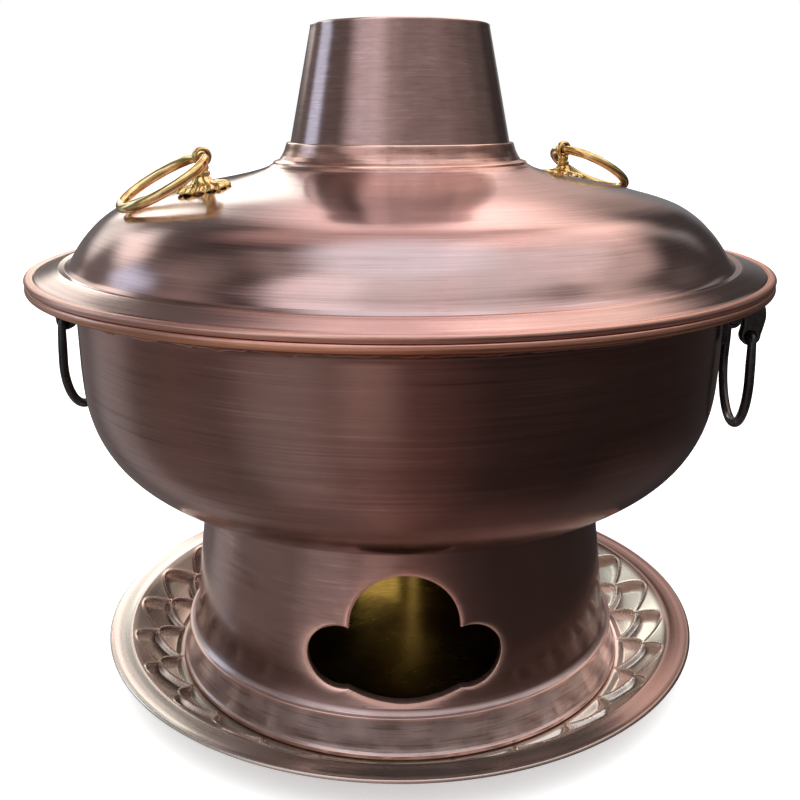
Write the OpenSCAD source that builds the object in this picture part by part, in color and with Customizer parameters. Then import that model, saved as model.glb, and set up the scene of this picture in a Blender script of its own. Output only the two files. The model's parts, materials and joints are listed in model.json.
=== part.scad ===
// Chimney hot pot: a spun copper-finished pot with a charcoal fire tube through
// its middle, a ring-shaped lid, a pierced pedestal and a petal-edged base tray.
// Z is up, the origin is at the centre of the tray's underside, and the air
// vent faces -Y. All sizes are in millimetres.

/* [Base tray] */
// Outer radius of the tray over its rolled edge
tray_r = 148.8; // [146:0.2:152]
// Height of the tray brim's upper face
tray_h = 18; // [16:0.5:20]
// Sheet thickness of the tray
tray_t = 1.2; // [1:0.1:1.6]

/* [Pedestal] */
// Radius of the pedestal where it meets the bowl
ped_top_r = 98; // [96:0.5:100]
// Radius of the pedestal at its bottom lip
ped_lip_r = 113; // [111:0.1:113.2]
// Height of the crease ring above the floor
crease_z = 19.3; // [18:0.1:21]
// Sheet thickness of the pedestal
ped_t = 1.2; // [1:0.1:1.6]
// Turn of the air vent away from straight ahead, in degrees
vent_turn = 1.2; // [-5:0.1:5]

/* [Bowl] */
// Outer radius of the bowl's straight wall
bowl_r = 150; // [149.5:0.1:150.5]
// Outer radius of the rolled rim
rim_r = 170; // [169:0.5:172]
// Height of the bowl's underside
bowl_z = 92; // [91.5:0.1:92.5]
// Sheet thickness of the bowl
bowl_t = 1.4; // [1.2:0.1:1.8]

/* [Fire tube] */
// Outer radius at the chimney mouth
mouth_r = 40.15; // [39:0.05:41]
// Height of the chimney mouth
mouth_z = 304.9; // [300:0.1:310]
// How far the tube widens per millimetre down
taper = 0.206; // [0.204:0.001:0.207]
// Sheet thickness of the tube
flue_t = 1.4; // [1.2:0.1:1.8]

/* [Grate] */
// Radius of the cast grate
grate_r = 78; // [76:0.5:80]
// Thickness of the grate
grate_t = 5; // [4:0.5:6]

/* [Lid] */
// Sheet thickness of the lid
lid_t = 1.3; // [1:0.1:1.6]
// Distance of each lid handle from the middle
knob_r = 95; // [93:0.5:97]
// Turn of the lid handles from the left-right line, in degrees
knob_turn = 28.4; // [0:0.1:45]
// Height of the handle eye's centre
eye_z = 249; // [248:0.1:250]
// Mean radius of the lid ring
ring_r = 20; // [18:0.5:21]
// Radius of the lid ring's wire
ring_wire = 2.1; // [1.8:0.05:2.15]
// Slope at which the lid ring rests, in degrees
ring_slope = 29.5; // [20:0.5:30]

/* [Side handles] */
// Turn of the side handles from the left-right line, in degrees
bail_turn = 5.9; // [0:0.1:20]
// Distance of the bail pivots from the middle
pivot_r = 161.8; // [161:0.1:163]
// Height of the bail pivots
pivot_z = 170; // [169:0.5:172]
// Radius of the bail's wire
bail_wire = 2; // [1.6:0.05:2]
// Radius of the pivot bore in each lug
pivot_bore = 2.06; // [2.05:0.01:2.09]
// Lean of the hanging bail towards the bowl, in degrees
bail_lean = 0; // [0:0.1:5]

/* [Hidden] */
$fn = 96;

copper = [0.47, 0.29, 0.26];
copper_bright = [0.76, 0.49, 0.41];
brass = [0.85, 0.68, 0.34];
iron = [0.08, 0.08, 0.09];

// ---- profile helpers: a profile is a list of [radius, height] points ----
function rev(v) = [for (i = [len(v) - 1:-1:0]) v[i]];
function unit(v) = v / norm(v);
function side(p, i) = let (a = p[max(i - 1, 0)], b = p[min(i + 1, len(p) - 1)], d = unit(b - a)) [-d[1], d[0]];
function moved(p, t) = [for (i = [0:len(p) - 1]) p[i] + t * side(p, i)];
// closed wall of thickness t on the left of the path
function sheet(p, t) = concat(p, rev(moved(p, t)));
// smooth curve through the points, n steps between neighbours
function cm(a, b, c, d, s) = 0.5 * ((2 * b) + (c - a) * s + (2 * a - 5 * b + 4 * c - d) * s * s + (3 * b - a - 3 * c + d) * s * s * s);
function smooth(p, n = 3) = let (k = len(p) - 1) concat(
    [for (i = [0:k - 1]) for (j = [0:n - 1])
        cm(p[max(i - 1, 0)], p[i], p[i + 1], p[min(i + 2, k)], j / n)], [p[k]]);

// ---- driving profiles, as round numbers ----
bowl_curve = smooth([[98, bowl_z], [109, bowl_z + 3.8], [121, bowl_z + 9.5], [131.5, bowl_z + 17],
    [139, bowl_z + 25], [144.3, bowl_z + 34], [147.5, bowl_z + 43], [149.3, bowl_z + 53], [bowl_r, bowl_z + 66]]);
bowl_outer = concat([[84.0 - flue_t - 0.3, bowl_z]], bowl_curve,
    [[bowl_r, 186], [bowl_r + 0.8, 188.6], [bowl_r + 2.6, 190.4], [bowl_r + 5, 191.1], [rim_r - 4, 191.6]]);
lid_outer = concat([[52.7, 253.4], [55.9, 246.4]],
    [[56.6, 245.7], [58.6, 245.4], [59.3, 244.6]],
    smooth([[60, 243.8], [64, 242.2], [70, 240.5], [80, 238.3], [knob_r, 235.5], [105, 233.4], [114, 231.1],
        [122, 228.9], [129.2, 226.1], [136.2, 221.6], [142.1, 216.1], [146.3, 211.1], [149.6, 206.1], [151.9, 203.2]]),
    [[153.4, 202.6], [156, 202.6], [160, 201.6], [165, 199.8], [168.2, 199.2]]);
ped_outer = concat([[ped_lip_r, 1.5], [ped_lip_r + 0.3, 2.4], [ped_lip_r, 3.4], [111.6, 4.6]],
    smooth([[111.3, 6], [110.6, 11], [109.8, 16], [109.5, crease_z - 0.8]]),
    [[109.3, crease_z], [108.6, crease_z + 0.4]],
    smooth([[107, crease_z + 1.3], [105.3, crease_z + 5], [104.4, 30], [103, 45], [101.5, 57], [100, 68], [98.8, 80], [ped_top_r, bowl_z]]));
tray_under = concat([[0, 0], [113.5, 0]], smooth([[115.2, 0.5], [124, 6.6], [136, 15.6]]), [[138, 16.5], [tray_r - 1.2, tray_h - tray_t]]);
function flue_r(z) = mouth_r + taper * (mouth_z - z);

module spin(p) { rotate_extrude($fn = 180) polygon(p); }
module bead(r, z, w) { rotate_extrude($fn = 180) translate([r, z]) circle(r = w, $fn = 32); }

// ---- places ----
// puts a handle's local frame (x outward, y along the wall) on one side
module at_knob(s) { rotate([0, 0, (s < 0 ? 180 : 0) + knob_turn]) translate([knob_r, 0, 0]) children(); }
module at_bail(s) { rotate([0, 0, (s < 0 ? 180 : 0) - bail_turn]) children(); }

// ---- base tray: flat floor, sloping well wall, level brim, rolled edge ----
module base_tray() {
    color(copper) union() {
        spin(sheet(tray_under, tray_t));
        bead(tray_r - 1.3, tray_h - 0.5, 1.3);
    }
}

// ---- pedestal: spun wall pierced by the cloud-shaped air vent ----
module vent_shape() {
    translate([0, 57]) circle(r = 24);
    for (s = [-1, 1]) translate([s * 28, 43]) circle(r = 14.3);
    polygon([[-28, 43], [-34.5, 30.3], [-26, 26.6], [-16, 24.6], [0, 23.7], [16, 24.6], [26, 26.6], [34.5, 30.3], [28, 43], [20, 57], [-20, 57]]);
}
module pedestal() {
    color(copper) difference() {
        spin(sheet(ped_outer, ped_t));
        rotate([0, 0, vent_turn]) translate([0, -80, 0]) rotate([90, 0, 0]) linear_extrude(40) vent_shape();
    }
}

// ---- bowl: soup trough wall with an outward flange and rolled rim ----
module bowl() {
    color(copper) difference() {
        union() {
            spin(sheet(bowl_outer, bowl_t));
            bead(rim_r - 2.75, 194.05, 2.75);
        }
        for (s = [-1, 1]) at_bail(s) for (u = [-8, 8]) translate([140, u, 176]) rotate([0, 90, 0]) cylinder(r = 1.8, h = 15, $fn = 32);
    }
}

// ---- fire tube: firebox below, chimney above, foot soldered in the bowl ----
foot_z = bowl_z + bowl_t;
module fire_tube() {
    color(copper) spin([
        [mouth_r, mouth_z], [flue_r(foot_z + flue_t), foot_z + flue_t], [95, foot_z + flue_t], [95, foot_z],
        [flue_r(foot_z) - flue_t, foot_z], [mouth_r - flue_t, mouth_z]]);
}

// ---- ledge ring that carries the grate ----
module grate_ring() {
    color(copper) spin([[74, bowl_z - 2], [ped_top_r - ped_t - 0.2, bowl_z - 2], [ped_top_r - ped_t - 0.2, bowl_z], [74, bowl_z]]);
}

// ---- cast grate: rim, straight slots with rounded ends ----
module slot(l, w) {
    linear_extrude(grate_t + 2) {
        square([l, w], center = true);
        for (s = [-1, 1]) translate([s * l / 2, 0]) circle(d = w, $fn = 32);
    }
}
module charcoal_grate() {
    color(iron) difference() {
        translate([0, 0, bowl_z]) cylinder(r = grate_r, h = grate_t);
        for (i = [-5:5]) translate([0, i * 12, bowl_z - 1])
            for (s = [-1, 1]) translate([s * (4 + (sqrt(68 * 68 - i * i * 144) - 4) / 2), 0, 0])
                slot(sqrt(68 * 68 - i * i * 144) - 12, 6);
    }
}

// ---- lid: domed ring with a stepped collar that hugs the chimney ----
module lid_shell() {
    color(copper) difference() {
        union() {
            spin(sheet(lid_outer, -lid_t));
            bead(51.9, 253.2, 0.8);
            bead(rim_r - 1.35, 198.6, 1.35);
        }
        for (s = [-1, 1]) at_knob(s) translate([0, 0, 225]) cylinder(r = 2.1, h = 20, $fn = 32);
    }
}
module lid_block() { spin(concat([[40, 253.4]], lid_outer, [[168, 190], [40, 190]])); }

// ---- brass rosette under each lid ring ----
module rosette(s) {
    color(brass) difference() {
        at_knob(s) translate([0, 0, 235.5]) rotate([0, 9, 0]) difference() {
            rotate_extrude($fn = 64) polygon([[0, -1.5], [12, -1.5], [12, 0.7], [10.2, 1.5], [7.6, 2.2], [5.2, 3.4], [3.8, 4.9], [2.9, 5.3], [0, 5.3]]);
            for (i = [0:11]) rotate([0, 0, i * 30 + 15]) translate([13, 0, -3]) cylinder(r = 1.9, h = 10, $fn = 32);
        }
        lid_block();
        at_knob(s) translate([0, 0, 220]) cylinder(r = 2.08, h = 30, $fn = 48);
    }
}
module lid_rosette_left() { rosette(-1); }
module lid_rosette_right() { rosette(1); }

// ---- eye post: shank, neck bead and pierced eye ----
module eye_post(s) {
    color(brass) at_knob(s) difference() {
        union() {
            translate([0, 0, 228.5]) cylinder(r = 2, h = eye_z - 228.5 - 3.2, $fn = 48);
            translate([0, 0, 241.5]) cylinder(r = 3, h = 1.6, $fn = 48);
            translate([0, 0, 243.8]) sphere(r = 2.7, $fn = 48);
            translate([0, 1.8, eye_z]) rotate([90, 0, 0]) cylinder(r = 4.1, h = 3.6, $fn = 64);
        }
        translate([0, 5, eye_z]) rotate([90, 0, 0]) cylinder(r = 2.35, h = 10, $fn = 64);
    }
}
module lid_eye_post_left() { eye_post(-1); }
module lid_eye_post_right() { eye_post(1); }

// ---- brass lid ring, lying out and down on the lid's shoulder ----
module lid_ring(s) {
    color(brass) at_knob(s) translate([0, 0, eye_z]) rotate([0, ring_slope, 0]) translate([ring_r, 0, 0])
        rotate_extrude($fn = 120) translate([ring_r, 0]) circle(r = ring_wire, $fn = 40);
}
module lid_ring_left() { lid_ring(-1); }
module lid_ring_right() { lid_ring(1); }

// ---- hexagon nuts that hold the posts from inside the lid ----
module lid_nuts() {
    color(brass) for (s = [-1, 1]) at_knob(s) translate([0, 0, 229.3]) difference() {
        cylinder(r = 4.6, h = 3.2, $fn = 6);
        translate([0, 0, -1]) cylinder(r = 2.02, h = 8, $fn = 48);
    }
}

// ---- iron bracket: curved back plate with two hooked lugs ----
module lug_side() {
    // seen along the wall: x outward, y up
    difference() {
        union() {
            translate([pivot_r, pivot_z]) circle(r = 4.6, $fn = 64);
            polygon([[151.2, 186.5], [160, 187], [164.5, 186], [167.2, 183], [167.9, 178.5], [167.1, 170.4],
                     [157.9, 170.2], [158.6, 176], [157.6, 179.2], [155, 180.6], [151.2, 181]]);
        }
        translate([pivot_r, pivot_z]) circle(r = pivot_bore, $fn = 64);
    }
}
module side_bracket(s) {
    color(iron) at_bail(s) difference() {
        union() {
            intersection() {
                rotate_extrude($fn = 180) translate([bowl_r, 165.5]) square([2, 21]);
                translate([140, -23, 160]) cube([20, 46, 30]);
            }
            for (u = [-18, 18]) translate([0, u + 3, 0]) rotate([90, 0, 0]) linear_extrude(6) lug_side();
        }
        for (u = [-8, 8]) translate([140, u, 176]) rotate([0, 90, 0]) cylinder(r = 1.8, h = 15, $fn = 32);
        cylinder(r = bowl_r + 0.05, h = 220, $fn = 180);
    }
}
module side_bracket_left() { side_bracket(-1); }
module side_bracket_right() { side_bracket(1); }

// ---- iron bail: round-wire loop whose ends turn in through the lugs ----
module rod(a, b) {
    d = b - a;
    translate(a) rotate([0, acos(d[2] / norm(d)), atan2(d[1], d[0])]) cylinder(r = bail_wire, h = norm(d), $fn = 40);
}
module side_bail(s) {
    arc_r = 26;     // bend of the bottom loop
    arc_y = 20.5;   // how far its centre hangs below the pivots
    turn_x = 24;    // where each end turns in
    color(iron) at_bail(s) translate([pivot_r, 0, pivot_z]) rotate([0, bail_lean, 0]) {
        for (m = [-1, 1]) {
            rod([0, m * 13.6, 0], [0, m * turn_x, 0]);
            translate([0, m * turn_x, 0]) sphere(r = bail_wire + 0.25, $fn = 48);
            rod([0, m * turn_x, 0], [0, m * arc_r, -arc_y]);
            translate([0, m * arc_r, -arc_y]) sphere(r = bail_wire + 0.15, $fn = 48);
        }
        translate([0, 0, -arc_y]) rotate([0, 90, 0]) rotate([0, 0, -90]) rotate_extrude(angle = 180, $fn = 96)
            translate([arc_r, 0]) circle(r = bail_wire, $fn = 40);
    }
}
module side_bail_left() { side_bail(-1); }
module side_bail_right() { side_bail(1); }

// ---- rivets through the brackets and the bowl wall ----
module bracket_rivets() {
    color(iron) for (s = [-1, 1]) at_bail(s) for (u = [-8, 8]) translate([0, u, 176]) rotate([0, 90, 0]) {
        translate([0, 0, 147]) cylinder(r = 1.78, h = 6.4, $fn = 32);
        translate([0, 0, 146.4]) cylinder(r = 3.4, h = 1.6, $fn = 48);
        translate([0, 0, 152.2]) cylinder(r = 3.6, h = 1.2, $fn = 48);
        translate([0, 0, 153.4]) cylinder(r1 = 3.6, r2 = 1.8, h = 0.9, $fn = 48);
    }
}

base_tray();
pedestal();
bowl();
fire_tube();
grate_ring();
charcoal_grate();
lid_shell();
lid_rosette_left();
lid_rosette_right();
lid_eye_post_left();
lid_eye_post_right();
lid_ring_left();
lid_ring_right();
lid_nuts();
side_bracket_left();
side_bracket_right();
side_bail_left();
side_bail_right();
bracket_rivets();
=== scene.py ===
import json
import math
import bpy
from mathutils import Vector, Matrix, noise

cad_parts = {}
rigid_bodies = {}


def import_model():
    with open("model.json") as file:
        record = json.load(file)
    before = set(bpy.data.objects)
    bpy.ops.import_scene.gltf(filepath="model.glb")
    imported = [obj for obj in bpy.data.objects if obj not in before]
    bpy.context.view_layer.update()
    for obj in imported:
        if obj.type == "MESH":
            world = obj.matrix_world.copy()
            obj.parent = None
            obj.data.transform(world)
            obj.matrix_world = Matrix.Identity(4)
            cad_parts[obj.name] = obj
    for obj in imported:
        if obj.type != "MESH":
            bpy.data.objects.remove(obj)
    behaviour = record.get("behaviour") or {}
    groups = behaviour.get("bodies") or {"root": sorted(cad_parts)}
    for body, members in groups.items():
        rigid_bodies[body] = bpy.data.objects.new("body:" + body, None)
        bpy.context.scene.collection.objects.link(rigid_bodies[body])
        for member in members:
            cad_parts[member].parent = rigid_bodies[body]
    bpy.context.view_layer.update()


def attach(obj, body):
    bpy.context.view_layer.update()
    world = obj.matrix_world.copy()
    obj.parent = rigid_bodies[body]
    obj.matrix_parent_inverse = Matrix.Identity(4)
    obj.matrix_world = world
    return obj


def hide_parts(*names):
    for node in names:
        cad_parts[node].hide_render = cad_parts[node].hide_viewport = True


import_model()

MM = 0.001
TAU = 2 * math.pi

# ------------------------------------------------------------------ camera
cam_data = bpy.data.cameras.new("camera")
cam = bpy.data.objects.new("camera", cam_data)
bpy.context.scene.collection.objects.link(cam)
cam.location = (0.0, -0.4649, 0.2663)
cam.rotation_euler = (math.radians(90 - 16.483), 0, 0)
cam_data.sensor_width = 36.0
cam_data.lens = 966.05 / 800 * 36.0
cam_data.clip_start, cam_data.clip_end = 0.01, 50
bpy.context.scene.camera = cam
bpy.context.scene.view_settings.view_transform = "Standard"
bpy.context.scene.view_settings.look = "None"


# ------------------------------------------------------------------ node helpers
class Nodes:
    """Small builder for node trees."""

    def __init__(self, tree):
        self.t = tree
        self.t.nodes.clear()

    def new(self, kind, **values):
        n = self.t.nodes.new(kind)
        for k, v in values.items():
            setattr(n, k, v)
        return n

    def put(self, socket, value):
        if isinstance(value, bpy.types.NodeSocket):
            self.t.links.new(value, socket)
        else:
            socket.default_value = value

    def math(self, op, a, b=None, c=None, clamp=False):
        n = self.new("ShaderNodeMath", operation=op, use_clamp=clamp)
        for i, v in enumerate((a, b, c)):
            if v is not None:
                self.put(n.inputs[i], v)
        return n.outputs[0]

    def ramp(self, x, lo, hi, out_lo=0.0, out_hi=1.0, smooth=True):
        n = self.new("ShaderNodeMapRange", interpolation_type="SMOOTHSTEP" if smooth else "LINEAR")
        for name, v in (("Value", x), ("From Min", lo), ("From Max", hi), ("To Min", out_lo), ("To Max", out_hi)):
            self.put(n.inputs[name], v)
        return n.outputs["Result"]

    def mix(self, f, a, b, kind="MIX"):
        n = self.new("ShaderNodeMix", data_type="RGBA", blend_type=kind)
        self.put(n.inputs["Factor"], f)
        self.put(n.inputs["A"], a)
        self.put(n.inputs["B"], b)
        return n.outputs["Result"]

    def xyz(self, v):
        n = self.new("ShaderNodeSeparateXYZ")
        self.put(n.inputs[0], v)
        return n.outputs

    def vec(self, x, y, z):
        n = self.new("ShaderNodeCombineXYZ")
        for i, v in enumerate((x, y, z)):
            self.put(n.inputs[i], v)
        return n.outputs[0]

    def noise4(self, v, w, scale=1.0, detail=2.0, rough=0.5, distort=0.0):
        n = self.new("ShaderNodeTexNoise", noise_dimensions="4D")
        self.put(n.inputs["Vector"], v)
        self.put(n.inputs["W"], w)
        n.inputs["Scale"].default_value = scale
        n.inputs["Detail"].default_value = detail
        n.inputs["Roughness"].default_value = rough
        n.inputs["Distortion"].default_value = distort
        return n.outputs["Fac"]

    def noise3(self, v, scale=1.0, detail=2.0, rough=0.5, distort=0.0):
        n = self.new("ShaderNodeTexNoise", noise_dimensions="3D")
        self.put(n.inputs["Vector"], v)
        n.inputs["Scale"].default_value = scale
        n.inputs["Detail"].default_value = detail
        n.inputs["Roughness"].default_value = rough
        n.inputs["Distortion"].default_value = distort
        return n.outputs["Fac"]


def rgb(r, g, b):
    return (r, g, b, 1.0)


def material(name):
    m = bpy.data.materials.new(name)
    m.use_nodes = True
    return m, Nodes(m.node_tree)


def surface(N, **sockets):
    """Principled surface with its output; a value stays on the socket, a link is linked."""
    out = N.new("ShaderNodeOutputMaterial")
    p = N.new("ShaderNodeBsdfPrincipled")
    for k, v in sockets.items():
        N.put(p.inputs[k.replace("_", " ")], v)
    N.t.links.new(p.outputs[0], out.inputs[0])
    return p


def turned(N, around, across):
    """4D coordinates for marks that run round the Z axis: slow round it, quick across it."""
    tc = N.new("ShaderNodeTexCoord")
    x, y, z = N.xyz(tc.outputs["Object"])
    r = N.math("SQRT", N.math("ADD", N.math("MULTIPLY", x, x), N.math("MULTIPLY", y, y)))
    rs = N.math("MAXIMUM", r, 0.001)
    cx = N.math("MULTIPLY", N.math("DIVIDE", x, rs), around)
    cy = N.math("MULTIPLY", N.math("DIVIDE", y, rs), around)
    return N.vec(cx, cy, N.math("MULTIPLY", r, across)), N.math("MULTIPLY", z, across), (x, y, z, r), tc


def copper(name, dark, mid, bright, edge, rough=0.27, aniso=0.6, streak=1.0, patina=1.0, seed=0.0, metal=1.0, right_shade=0.0, pale=None, low=None):
    """Antique copper plating, brushed on a lathe: dark patina, pinkish metal where it is rubbed, bare copper on edges."""
    m, N = material(name)
    v1, w1, (x, y, z, r), tc = turned(N, 2.6 + seed, 1500)
    fine = N.noise4(v1, w1, 1.0, 3.0, 0.65)
    v2, w2, _, _ = turned(N, 1.7 + seed, 330)
    broad = N.noise4(v2, w2, 1.0, 3.0, 0.6)
    v3, w3, _, _ = turned(N, 2.2 + seed, 34)
    blotch = N.noise4(v3, w3, 1.0, 4.0, 0.6, 0.3)
    speck = N.noise3(tc.outputs["Object"], 260, 4.0, 0.7)
    wear = N.new("ShaderNodeAttribute", attribute_name="wear")
    # patina amount
    a = N.math("MULTIPLY_ADD", N.math("SUBTRACT", fine, 0.5), 1.1 * streak, 0.0)
    b = N.math("MULTIPLY_ADD", N.math("SUBTRACT", broad, 0.5), 0.8 * streak, a)
    c = N.math("MULTIPLY_ADD", N.math("SUBTRACT", blotch, 0.5), 0.9 * patina, b)
    d = N.math("MULTIPLY_ADD", N.math("SUBTRACT", speck, 0.5), 0.25, c)
    level = N.math("ADD", d, 0.5, clamp=True)
    base = N.mix(N.ramp(level, 0.0, 0.5), dark, mid)
    base = N.mix(N.ramp(level, 0.5, 1.0), base, bright)
    hue = N.noise3(tc.outputs["Object"], 13, 3.0, 0.55, 0.6)
    base = N.mix(N.ramp(hue, 0.30, 0.48, 0.50, 0.0), base, rgb(mid[0] * 0.84, mid[1] * 1.02, mid[2] * 1.02))
    base = N.mix(N.ramp(hue, 0.52, 0.72, 0.0, 0.55), base, rgb(mid[0] * 1.16, mid[1] * 0.90, mid[2] * 0.86))
    if right_shade:    # painted shade: the right-hand side is painted darker; on the tray only on the brim, and less towards the front
        f = N.ramp(x, 0.0, 0.05 if low else 0.10, 0.0, right_shade)
        if pale:
            f = N.math("MULTIPLY", f, N.ramp(r, 0.1345, 0.1375))
            f = N.math("MULTIPLY", f, N.ramp(y, -0.11, -0.03, 0.35, 1.0))
        base = N.mix(f, base, rgb(dark[0] * 0.55, dark[1] * 0.46, dark[2] * 0.42))
    if pale:    # painted highlight: the brim's left-hand side is painted pale where it catches the light, its far side is made darker, and the petals get a silvery tint, painted dark on the left as painted shade and bright on the right as painted highlight
        left = N.math("MULTIPLY", N.ramp(x, -0.11, -0.03, 1.0, 0.25), N.ramp(x, 0.06, 0.11, 1.0, 0.0))
        left = N.math("MULTIPLY", left, N.ramp(y, 0.06, 0.12, 1.0, 0.05))
        base = N.mix(N.math("MULTIPLY", left, N.ramp(r, 0.1345, 0.1375)), base, pale)
        far = N.math("MULTIPLY", N.ramp(y, 0.06, 0.12, 0.0, 0.6), N.ramp(r, 0.1345, 0.1375))
        base = N.mix(far, base, rgb(dark[0] * 0.6, dark[1] * 0.55, dark[2] * 0.5))
        zone = N.math("MULTIPLY", N.ramp(r, 0.1125, 0.1150), N.ramp(r, 0.1345, 0.1375, 1.0, 0.0))
        shade = N.math("MULTIPLY_ADD", N.math("MULTIPLY", N.ramp(y, 0.02, 0.08), N.ramp(x, -0.06, 0.0, 1.0, 0.0)), -0.7, 0.8)
        base = N.mix(N.math("MULTIPLY", zone, shade), base, N.mix(N.ramp(x, -0.02, 0.09), rgb(.44, .39, .32), rgb(.92, .88, .78)))
    if low:     # painted highlight: the foot band is painted paler than the wall, with less dark patina; painted shade: the flare above it is painted darker
        flare_shade = N.math("MULTIPLY", N.ramp(z, 0.0205, 0.0225), N.ramp(z, 0.032, 0.052, 0.65, 0.0))
        base = N.mix(flare_shade, base, rgb(dark[0] * 0.6, dark[1] * 0.56, dark[2] * 0.56))
        base = N.mix(N.ramp(z, 0.0200, 0.0222, 0.80, 0.0), base, low)
        base = N.mix(N.math("MULTIPLY", N.ramp(level, 0.25, 0.6, 0.7, 0.0), N.ramp(z, 0.0200, 0.0222, 1.0, 0.0)), base, mid)
    edge_amount = N.math("MULTIPLY", wear.outputs["Fac"], N.ramp(N.math("ADD", fine, speck), 0.62, 1.05, 0.45, 1.0), clamp=True)
    if pale:    # the rubbed-edge colour is weaker towards the back and towards the right of the brim
        less = N.math("MULTIPLY", N.ramp(x, 0.07, 0.12, 1.0, 0.35), N.ramp(y, 0.05, 0.11, 1.0, 0.40))
        edge_amount = N.math("MULTIPLY", edge_amount, less)
    base = N.mix(edge_amount, base, edge)
    ro = N.math("ADD", N.math("MULTIPLY_ADD", N.math("SUBTRACT", fine, 0.5), 0.08, rough), N.math("MULTIPLY", N.math("SUBTRACT", blotch, 0.5), 0.06))
    ro = N.math("SUBTRACT", ro, N.math("MULTIPLY", edge_amount, 0.05), clamp=True)
    if low:
        ro = N.math("ADD", ro, N.ramp(z, 0.022, 0.040, 0.14, 0.0), clamp=True)
    bump = N.new("ShaderNodeBump")
    bump.inputs["Strength"].default_value = 0.35
    bump.inputs["Distance"].default_value = 0.00006
    N.put(bump.inputs["Height"], N.math("ADD", N.math("MULTIPLY", fine, 1.0), N.math("MULTIPLY", broad, 1.5)))
    tangent = N.new("ShaderNodeTangent", direction_type="RADIAL", axis="Z")
    surface(N, Base_Color=base, Metallic=metal, Roughness=ro, Anisotropic=aniso, Anisotropic_Rotation=0.25,
            Coat_Weight=0.35, Coat_Roughness=0.10, Normal=bump.outputs[0], Tangent=tangent.outputs[0])
    return m


M_BODY = copper("antique_copper_body", rgb(.22, .116, .096), rgb(.37, .208, .175), rgb(.52, .312, .272), rgb(.82, .46, .35), rough=0.22, aniso=0.8, streak=1.2, right_shade=0.42)
M_LID = copper("antique_copper_lid", rgb(.42, .270, .245), rgb(.56, .375, .345), rgb(.70, .490, .455), rgb(.92, .60, .49), rough=0.17, aniso=0.8, streak=1.35, seed=0.7)
M_FLUE = copper("antique_copper_chimney", rgb(.35, .235, .212), rgb(.48, .325, .298), rgb(.62, .435, .405), rgb(.88, .62, .54), rough=0.20, aniso=0.8, streak=1.25, seed=1.9)
M_FOOT = copper("antique_copper_pedestal", rgb(.25, .15, .128), rgb(.46, .285, .250), rgb(.62, .420, .380), rgb(.95, .62, .52), rough=0.22, aniso=0.75, seed=2.6, metal=0.95, right_shade=0.75, low=rgb(.90, .76, .74))
M_TRAY = copper("antique_copper_tray", rgb(.26, .175, .150), rgb(.47, .345, .305), rgb(.66, .520, .465), rgb(.90, .74, .64), rough=0.28, aniso=0.35, streak=0.7, seed=3.1, metal=0.92, right_shade=0.90, pale=rgb(.96, .91, .82))
M_COLLAR = copper("antique_copper_collar", rgb(.40, .215, .175), rgb(.62, .365, .300), rgb(.80, .520, .430), rgb(.95, .64, .52), rough=0.24, aniso=0.6, seed=4.3, patina=1.3)


def rim_copper():
    """Bare copper band of the bowl's rolled rim, with the plating's ragged edge."""
    m, N = material("bare_copper_rim")
    v1, w1, (x, y, z, r), tc = turned(N, 4.0, 1600)
    fine = N.noise4(v1, w1, 1.0, 3.0, 0.65)
    v2, w2, _, _ = turned(N, 26.0, 260)
    ragged = N.noise4(v2, w2, 1.0, 3.0, 0.6)
    low = N.ramp(N.math("MULTIPLY_ADD", N.math("SUBTRACT", ragged, 0.5), 0.0026, z), 0.1893, 0.1903)
    pink = N.mix(N.ramp(fine, 0.3, 0.7), rgb(.62, .33, .26), rgb(.88, .55, .45))
    orange = N.mix(N.ramp(fine, 0.3, 0.7), rgb(.60, .25, .14), rgb(.86, .44, .29))
    base = N.mix(N.ramp(N.math("MULTIPLY_ADD", N.math("SUBTRACT", ragged, 0.5), 0.0012, z), 0.1950, 0.1966), orange, pink)
    # painted shade: a dark line along the crease under the roll, at z 193.45 mm
    base = N.mix(N.ramp(N.math("ABSOLUTE", N.math("SUBTRACT", z, 0.19345)), 0.0001, 0.0005, 0.75, 0.0), base, rgb(.16, .05, .03))
    base = N.mix(low, rgb(.10, .045, .035), base)
    bump = N.new("ShaderNodeBump")
    bump.inputs["Strength"].default_value = 0.5
    bump.inputs["Distance"].default_value = 0.00012
    N.put(bump.inputs["Height"], N.math("ADD", fine, N.math("MULTIPLY", ragged, 2.0)))
    surface(N, Base_Color=base, Metallic=1.0, Roughness=N.math("MULTIPLY_ADD", fine, 0.2, 0.22), Normal=bump.outputs[0])
    return m


M_RIM = rim_copper()


def brass_inner():
    """Bare brass inside the walls, dulled by heat."""
    m, N = material("inner_brass")
    v1, w1, (x, y, z, r), tc = turned(N, 3.0, 700)
    fine = N.noise4(v1, w1, 1.0, 3.0, 0.6)
    stain = N.noise3(tc.outputs["Object"], 22, 4.0, 0.6, 0.4)
    base = N.mix(N.ramp(stain, 0.35, 0.7), rgb(.30, .185, .055), rgb(.62, .46, .16))
    base = N.mix(N.math("MULTIPLY", N.ramp(fine, 0.4, 0.7), 0.35), base, rgb(.72, .56, .24))
    surface(N, Base_Color=base, Metallic=1.0, Roughness=N.math("MULTIPLY_ADD", stain, 0.20, 0.16))
    return m


M_INNER = brass_inner()


def tinned():
    """Wiped tin lining of the soup trough and the lid's underside."""
    m, N = material("tin_lining")
    v1, w1, (x, y, z, r), tc = turned(N, 3.0, 500)
    fine = N.noise4(v1, w1, 1.0, 3.0, 0.6)
    cloud = N.noise3(tc.outputs["Object"], 30, 4.0, 0.55, 0.2)
    base = N.mix(N.ramp(cloud, 0.3, 0.75), rgb(.50, .49, .47), rgb(.74, .73, .70))
    base = N.mix(N.math("MULTIPLY", N.ramp(fine, 0.45, 0.75), 0.3), base, rgb(.84, .83, .80))
    surface(N, Base_Color=base, Metallic=1.0, Roughness=N.math("MULTIPLY_ADD", cloud, 0.2, 0.22))
    return m


M_TIN = tinned()


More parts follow.
